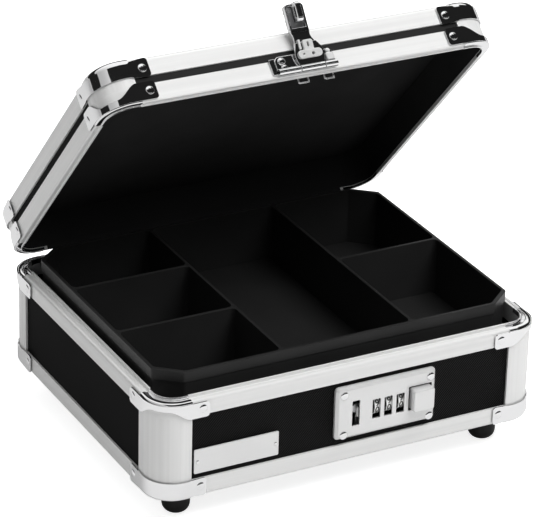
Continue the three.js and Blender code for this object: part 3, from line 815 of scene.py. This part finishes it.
def dials():
    rim = [(BORE_R, -2.4), (DIAL_R - 0.2, -2.4), (DIAL_R, -2.2), (DIAL_R, -0.6), (BORE_R, -0.6)]
    band = [
        (BORE_R, -0.6), (DIAL_R - 0.3, -0.6), (DIAL_R, -0.4),
        (DIAL_R, 2.8), (DIAL_R - 0.2, 3.0), (BORE_R, 3.0),
    ]
    for number, (x, side) in enumerate(zip(DIALS, ("left", "middle", "right")), 1):
        body = f"dial_{side}"
        show(mesh_of(drum(x, band), "band"), f"{body}_drum", body, "dial", [f"dial_{number}"])
        show(mesh_of(drum(x, rim, NOTCH_DEPTH), "rim"), f"{body}_rim", body, "dial", look=INK)
        for figure in range(10):
            numeral(x, side, figure)


def numeral(x, side, figure):
    """A figure laid onto a dial's drum, slightly proud of it."""
    text = bpy.data.curves.new("figure", "FONT")
    text.body = str(figure)
    text.size = FIGURE_SIZE
    text.align_x = "CENTER"
    text.align_y = "CENTER"
    text.extrude = 0.04
    text.offset = 0.1
    holder = bpy.data.objects.new("figure", text)
    mesh = bpy.data.meshes.new_from_object(holder)
    bpy.data.objects.remove(holder)
    bm = bmesh.new()
    bm.from_mesh(mesh)
    for height in FIGURE_CUTS:
        parts = bm.verts[:] + bm.edges[:] + bm.faces[:]
        bmesh.ops.bisect_plane(bm, geom=parts, plane_co=(0, height, 0), plane_no=(0, 1, 0))
    bm.to_mesh(mesh)
    bm.free()
    middle = FIGURE_OFFSET - FIGURE_STEP * figure
    for vertex in mesh.vertices:
        across, up, out = vertex.co
        turn = middle + up / DIAL_R
        reach = DIAL_R + 0.03 + out
        vertex.co = (
            x + FIGURE_SHIFT + across * FIGURE_WIDEN,
            front_y(DIAL_INSET) - reach * math.cos(turn),
            base_z(DIAL_Z) + reach * math.sin(turn),
        )
    show(mesh, f"dial_{side}_figure_{figure}", f"dial_{side}", "dial", look=INK)


def grown(x, z, by, radius):
    """A rounded outline of (x, z) that much larger all round."""
    return rectangle((x[0] - by, x[1] + by), (base_z(z[0] - by), base_z(z[1] + by)), radius)


def button():
    body = plate(
        [rectangle(BUTTON_X, (base_z(BUTTON_Z[0]), base_z(BUTTON_Z[1])), 1.6)],
        (front_y(-7.4), front_y(4.5)),
        0.8,
    )
    show(mesh_of(body, "button"), "lock_button_piece", "button", "chrome", ["lock_button"], SATIN_CHROME)
    collar = plate(
        [grown(*BUTTON_HOLE, 0.6, 0.5), grown(BUTTON_X, BUTTON_Z, 0.12, 1.6)],
        (front_y(-1.4), front_y(-0.4)),
        0.1,
    )
    show(mesh_of(collar, "collar"), "lock_button_collar", "case", "rubber")


def bolt():
    y = (front_y(1.6), front_y(3))
    arm = fillet([
        (2.3, base_z(20.4), 0.4), (45.5, base_z(20.4), 0.4), (45.5, base_z(23.2), 0.4),
        (5.5, base_z(23.2), 0.6), (5.5, base_z(35.7), 1.2), (0.1, base_z(35.7), 2.2),
        (0.1, base_z(29.9), 2.2), (2.3, base_z(29.9), 0.1),
    ])
    body = plate([arm], y, 0.2)
    show(mesh_of(body, "bolt"), "lock_bolt_piece", "bolt", "chrome", ["lock_bolt"], LOOKS["steel"])
    boss = rectangle((2.0, 4.8), (base_z(27.6), base_z(34.6)), 1.39, 8)
    body = plate([boss], (front_y(-0.5), front_y(1.9)), 0.5)
    show(mesh_of(body, "boss"), "lock_bolt_boss", "bolt", "chrome", look=SATIN_CHROME)


# Hasp, drawn shut: r is the distance below the barrel, t the distance in front of it

BARREL_Y = -DEPTH / 2 - 2.5
BARREL_Z = lid_z(2.4)
FLAP_ROOT = 3.0
FLAP_HEAD = 1.0
FLAP_KNUCKLE = 7.7


def hung(r):
    return BARREL_Z - r


def proud(t):
    return BARREL_Y - t


def hasp_base():
    face = -DEPTH / 2 - 0.3
    outline = fillet([
        (-19, lid_z(0.8), 0.8), (19, lid_z(0.8), 0.8), (19, lid_z(12.5), 3.5), (-19, lid_z(12.5), 3.5),
    ], 6)
    bits = [
        plate([outline], (face - 1.7, face), 0.5),
        slab((-22, -18), (face - 1.0, face), (lid_z(1.6), lid_z(11.8)), 0.45),
        rod((-19, FLAP_ROOT - FLAP_KNUCKLE - 0.4), 2, BARREL_Y, BARREL_Z),
        rod((FLAP_ROOT + FLAP_KNUCKLE + 0.4, 19), 2, BARREL_Y, BARREL_Z),
        turned(dome(2.5, 1.6), facing((-14.8, face - 1.6, lid_z(9.0)), (0, -1, 0))),
        turned(dome(2.0, 1.4), facing((-14.2, face - 1.6, lid_z(5.0)), (0, -1, 0))),
    ]
    show(mesh_of(join(*bits), "hasp_base_piece"), "hasp_base_piece", "lid", "chrome", ["hasp_base"])
    boss = slab((13.2, 18.2), (face - 3.4, face - 1), (lid_z(4.6), lid_z(9.4)), 0.7)
    head = turned(dome(1.5, 1.2), facing((15.9, face - 1.6, lid_z(11.0)), (0, -1, 0)))
    show(mesh_of(join(boss, head), "hasp_base_boss"), "hasp_base_boss", "lid", "chrome", look=SATIN_CHROME)


def flap_half(r):
    """Half the flap's width at a distance below the barrel: shoulders, a waist, then the head's neck."""
    if r < 8:
        return 7.7 + 1.6 * math.sin((r - 1.2) / 6.8 * math.pi / 2)
    if r < 19:
        return 5.5 + 3.8 * (1 - smooth(8, 19, r))
    return 5.5 + 0.5 * smooth(19, 22, r)


def flap_middle(r):
    """The neck leans from the root's middle line to the head's."""
    return FLAP_ROOT + (FLAP_HEAD - FLAP_ROOT) * smooth(9, 21.5, r)


def flap_outline(start, end, foot=0.0):
    steps = 24
    radii = [start + (end - start) * i / steps for i in range(steps + 1)]
    right = [(flap_middle(r) + flap_half(r), hung(r), 0) for r in radii]
    left = [(flap_middle(r) - flap_half(r), hung(r), 0) for r in radii]
    return fillet(right[:-1] + [(*right[-1][:2], foot), (*left[-1][:2], foot)] + left[-2::-1], 6)


def about_head(half):
    return (FLAP_HEAD - half, FLAP_HEAD + half)


def about_root(half):
    return (FLAP_ROOT - half, FLAP_ROOT + half)


def hasp_flap():
    head = rectangle(about_head(6), (hung(38.4), hung(20.8)), 2.2)
    well = rectangle(about_head(4.6), (hung(37.0), hung(22.2)), 1.4)
    dish = rectangle(about_head(4.3), (hung(36.6), hung(22.6)), 1.2)
    bits = [
        plate([flap_outline(1.2, 15)], (proud(0.7), proud(-0.6)), 0.3),
        plate([flap_outline(12.5, 24)], (proud(1.9), proud(0.3)), 0.35),
        plate([head, well], (proud(4.2), proud(0.3)), 0.45),
        plate([head], (proud(4.2), proud(2.5)), 0.5),
        rod(about_root(FLAP_KNUCKLE), 2, BARREL_Y, BARREL_Z),
        staple(),
    ]
    show(mesh_of(join(*bits), "hasp_flap_piece"), "hasp_flap_piece", "hasp", "chrome", ["hasp_flap"])
    liner = [
        plate([dish], (proud(2.7), proud(2.2)), 0.1),
        turned(dome(0.9, 0.6), facing((FLAP_HEAD - 2.9, proud(2.2), hung(34.6)), (0, 1, 0)), 24),
    ]
    show(mesh_of(join(*liner), "hasp_flap_liner"), "hasp_flap_liner", "hasp", "chrome", look=LOOKS["steel"])
    show(mesh_of(hasp_spring(), "hasp_spring"), "hasp_flap_boss", "hasp", "chrome", look=SATIN_CHROME)


def hasp_spring():
    """The T-shaped boss on the flap's inner side, with its small holes."""
    def hole(x, r, radius):
        return rectangle((x - radius, x + radius), (hung(r + radius), hung(r - radius)), radius * 0.95, 5)

    bar = rectangle(about_root(7.75), (hung(10.3), hung(5.4)), 2.3, 6)
    stem = rectangle(about_root(3.3), (hung(16.2), hung(8.4)), 1.3, 5)
    rib = rectangle((FLAP_ROOT - 5.9, FLAP_ROOT - 4.4), (hung(16.8), hung(10.9)), 0.4, 3)
    groove = rectangle(about_root(0.5), (hung(14.9), hung(12)), 0.45, 4)
    holes = [hole(FLAP_ROOT + 1.8, 7.6, 0.9), hole(FLAP_ROOT - 4.2, 7.9, 0.55)]
    return join(
        plate([bar, *holes], (proud(-0.5), proud(-1.9)), 0.45),
        plate([stem, groove], (proud(0.4), proud(-1.5)), 0.45),
        plate([rib], (proud(0), proud(-1.2)), 0.3),
    )


def staple():
    """The tongue with an eye that enters the lock, standing on the flap's inner side."""
    def side(r, t):
        return (BARREL_Y - t, hung(r))

    outer = [
        (*side(38.2, 2.4), 0), (*side(38.2, -7.4), 2.2),
        (*side(26.4, -7.4), 2.2), (*side(26.4, 2.4), 0),
    ]
    eye = [(*side(r, t), 0.7) for r, t in ((36.2, -3.8), (36.2, -5.8), (28.6, -5.8), (28.6, -3.8))]
    bm = plate([fillet(outer), fillet(eye, 3)], (-1.7, 1.7), 0.4)
    turn = Matrix.Rotation(math.pi / 2, 4, "Z")
    bmesh.ops.transform(bm, matrix=turn, verts=bm.verts)
    return bm


def rear_painted_shade():
    """A black strip that covers the rim's inner lip along the hinge: painted shade where that lip lies dark."""
    # painted shade: a black strip laid over the lip darkens it along the hinge
    outline = rectangle((-103, 103), (lid_z(-0.85), lid_z(1.6)), 0.1)
    body = plate([outline], (DEPTH / 2 - 4.5, DEPTH / 2 - 3.15), 0.05)
    show(mesh_of(body, "painted_shade_strip"), "lid_rear_painted_shade", "lid", "lining")


def hasp_backing():
    """The plate behind the hasp, inside the lid, with two loops hanging below the rim."""
    def y(start, end):
        return (front_y(start), front_y(end))

    bits = [
        slab((-16, 22), y(4.3, 5.3), (lid_z(3), lid_z(14)), 0.2),
        slab((-16, 22), y(5, 7.8), (lid_z(3), lid_z(4.2)), 0.2),
    ]
    for x in ((-4.4, 3.2), (12.6, 19.6)):
        loop = rectangle(x, (lid_z(-2.9), lid_z(4)), 1.2, 4)
        eye = rectangle((x[0] + 1.1, x[1] - 1.1), (lid_z(-1.9), lid_z(2.9)), 0.5, 4)
        bits.append(plate([loop, eye], y(7, 7.8), 0.25))
    body = mesh_of(join(*bits), "backing")
    show(body, "hasp_backing_piece", "lid", "steel", ["hasp_backing"], LOOKS["chrome"])


# Tray

TRAY_HALF = (118.0, 90.3)
TRAY_TOP = 74.0
TRAY_BOTTOM = 35.0


def tray_outline(spread_by, radius=3.0):
    x, y = TRAY_HALF[0] + spread_by, TRAY_HALF[1] + spread_by
    quarter = [(x, y - 12.5), (x - 15, y)]
    half = quarter + [(-px, py) for px, py in quarter[::-1]]
    whole = half + [(px, -py) for px, py in half[::-1]]
    return fillet([(px, py, radius) for px, py in whole], 5)


def flat_plate(loops, z, bevel):
    """A plate lying flat: outlines of (x, y), from one height to another."""
    bm = plate(loops, (-z[1], -z[0]), bevel)
    bmesh.ops.transform(bm, matrix=Matrix.Rotation(-math.pi / 2, 4, "X"), verts=bm.verts)
    return bm


def tray_cells():
    wall = 2.2
    x0, x1 = -TRAY_HALF[0] + wall, TRAY_HALF[0] - wall
    y0, y1 = -TRAY_HALF[1] + wall, TRAY_HALF[1] - wall
    cut = 12.0

    def cell(x, y, cut_left=(), cut_right=()):
        """One compartment's outline, with the tray's cut corners where it meets them."""
        points = []
        rear = [(x[1], y[1], "rear"), (x[0], y[1], "rear")]
        front = [(x[0], y[0], "front"), (x[1], y[0], "front")]
        for px, py, near in rear + front:
            cuts = cut_right if px == x[1] else cut_left
            if near in cuts:
                sx = 1 if px == x[1] else -1
                sy = 1 if py == y[1] else -1
                spots = [(px, py - sy * cut, 2.5), (px - sx * (cut + 2.4), py, 2.5)]
                points += spots if sx * sy > 0 else spots[::-1]
            else:
                points.append((px, py, 3.0))
        return fillet(points, 5)

    return [
        cell((x0, -40.5), (y0, -29.4), cut_left=("front",)),
        cell((x0, -40.5), (-27.4, 32.4)),
        cell((x0, -40.5), (34.4, y1), cut_left=("rear",)),
        cell((-38.5, 45.5), (y0, y1)),
        cell((47.5, x1), (y0, 2.0), cut_right=("front",)),
        cell((47.5, x1), (4.0, y1), cut_right=("rear",)),
    ]


def tray():
    cells = tray_cells()
    walls = flat_plate([tray_outline(-0.6), *cells], (base_z(TRAY_BOTTOM + 0.8), base_z(TRAY_TOP)), 0.45)
    floor = flat_plate([tray_outline(-1.3)], (base_z(TRAY_BOTTOM), base_z(TRAY_BOTTOM + 2.2)), 0.8)
    inner = tray_outline(-1.4, 2.0)
    band = flat_plate([tray_outline(0), inner], (base_z(TRAY_TOP - 7), base_z(TRAY_TOP - 0.05)), 0.45)
    show(mesh_of(join(walls, floor, band), "tray_piece"), "tray_piece", "tray", "tray", ["tray"])


# Stage


CAMERA_TURN = (28.18, 25.93, 1.479)
CAMERA_DISTANCE = 1.88792
CAMERA_LENS = 209.48
CAMERA_AIM = (0, CASE_Y * MM, 0.06)
CAMERA_SHIFT = (-0.00245, 0.04031)


def camera():
    """At the photograph's angle, a long way off with a long lens."""
    azimuth, elevation, roll = (math.radians(a) for a in CAMERA_TURN)
    level = math.cos(elevation)
    look = Vector((math.sin(azimuth) * level, math.cos(azimuth) * level, -math.sin(elevation)))
    right = look.cross(Vector((0, 0, 1))).normalized()
    up = right.cross(look)
    across = right * math.cos(roll) + up * math.sin(roll)
    above = up * math.cos(roll) - right * math.sin(roll)
    aim = Vector(CAMERA_AIM) + across * CAMERA_SHIFT[0] + above * CAMERA_SHIFT[1]
    data = bpy.data.cameras.new("camera")
    data.sensor_fit = "HORIZONTAL"
    data.sensor_width = 36
    data.lens = CAMERA_LENS
    data.clip_end = 20
    made = bpy.data.objects.new("camera", data)
    turn = Matrix((across, above, -look)).transposed().to_4x4()
    made.matrix_world = Matrix.Translation(aim - look * CAMERA_DISTANCE) @ turn
    bpy.context.scene.collection.objects.link(made)
    bpy.context.scene.camera = made


def floor():
    """White paper under the object, lit from below as well, so that only contact shadows show."""
    bm = bmesh.new()
    bmesh.ops.create_grid(bm, x_segments=1, y_segments=1, size=6)
    mesh = bpy.data.meshes.new("floor")
    bm.to_mesh(mesh)
    bm.free()
    made, tree, shader = new_material("floor", (0.75, 0.75, 0.75), 0.8)
    shader.inputs["Specular IOR Level"].default_value = 0.1
    shader.inputs["Emission Color"].default_value = (1, 1, 1, 1)
    path = tree.nodes.new("ShaderNodeLightPath")
    glow = step(tree, path.outputs["Is Camera Ray"], 0, 1, 0.05, 0.82)
    tree.links.new(glow, shader.inputs["Emission Strength"])
    mesh.materials.append(made)
    ground = bpy.data.objects.new("floor", mesh)
    bpy.context.scene.collection.objects.link(ground)


def softbox(name, at, aim, size, power, mirrored=True):
    data = bpy.data.lights.new(name, "AREA")
    data.shape = "RECTANGLE"
    data.size, data.size_y = size
    data.energy = power
    made = bpy.data.objects.new(name, data)
    made.location = at
    made.rotation_euler = (Vector(aim) - Vector(at)).to_track_quat("-Z", "Y").to_euler()
    made.visible_glossy = mirrored
    bpy.context.scene.collection.objects.link(made)


def math_node(tree, operation, first, second):
    node = tree.nodes.new("ShaderNodeMath")
    node.operation = operation
    for socket, value in zip(node.inputs, (first, second)):
        if isinstance(value, (int, float)):
            socket.default_value = value
        else:
            tree.links.new(value, socket)
    return node.outputs["Value"]


def step(tree, value, low, high, start=0.0, end=1.0):
    """A smooth step from start to end as a value goes from low to high."""
    ramp = tree.nodes.new("ShaderNodeMapRange")
    ramp.interpolation_type = "SMOOTHSTEP"
    ramp.inputs["From Min"].default_value = low
    ramp.inputs["From Max"].default_value = high
    ramp.inputs["To Min"].default_value = start
    ramp.inputs["To Max"].default_value = end
    tree.links.new(value, ramp.inputs["Value"])
    return ramp.outputs["Result"]


DARK_CARDS = (
    ((-0.52, 1.1), (-0.85, -0.1), (0.5, 0.97)),
    ((-1.1, 1.1), (-1.1, 1.1), (0.02, 0.45)),
    ((0.55, 1.1), (-1.1, 0.3), (0.02, 0.97)),
)
CARD_SOFTNESS = 0.012


def studio():
    """A white dome, dimmer on the left, with dark cards where polished metal has to mirror black."""
    world = bpy.data.worlds.new("studio")
    world.use_nodes = True
    bpy.context.scene.world = world
    tree = world.node_tree
    source = tree.nodes.new("ShaderNodeTexCoord")
    split = tree.nodes.new("ShaderNodeSeparateXYZ")
    tree.links.new(source.outputs["Generated"], split.inputs["Vector"])
    level = step(tree, split.outputs["X"], -0.95, 0.0, 0.48, 1.08)
    for card in DARK_CARDS:
        cover = 1.0
        for axis, (low, high) in zip("XYZ", card):
            value = split.outputs[axis]
            inside = step(tree, value, low - CARD_SOFTNESS, low + CARD_SOFTNESS)
            cover = math_node(tree, "MULTIPLY", cover, inside)
            inside = step(tree, value, high - CARD_SOFTNESS, high + CARD_SOFTNESS, 1.0, 0.0)
            cover = math_node(tree, "MULTIPLY", cover, inside)
        level = math_node(tree, "MULTIPLY", level, math_node(tree, "SUBTRACT", 1.0, cover))
    level = math_node(tree, "MAXIMUM", level, 0.015)
    path = tree.nodes.new("ShaderNodeLightPath")
    level = math_node(tree, "MAXIMUM", level, path.outputs["Is Camera Ray"])
    tree.links.new(level, tree.nodes["Background"].inputs["Strength"])
    tree.nodes["Background"].inputs["Color"].default_value = (1, 1, 1, 1)
    softbox("key", (0.7, -1.2, 2.2), (0, 0, 0.15), (1.6, 1.2), 62, False)
    bpy.context.scene.view_settings.view_transform = "Standard"


keep_cad_nodes()
rails()
posts()
caps()
feet()
name_plate()
lock_plate()
dials()
button()
bolt()
hasp_base()
hasp_flap()
hasp_backing()
rear_painted_shade()
tray()
camera()
floor()
studio()
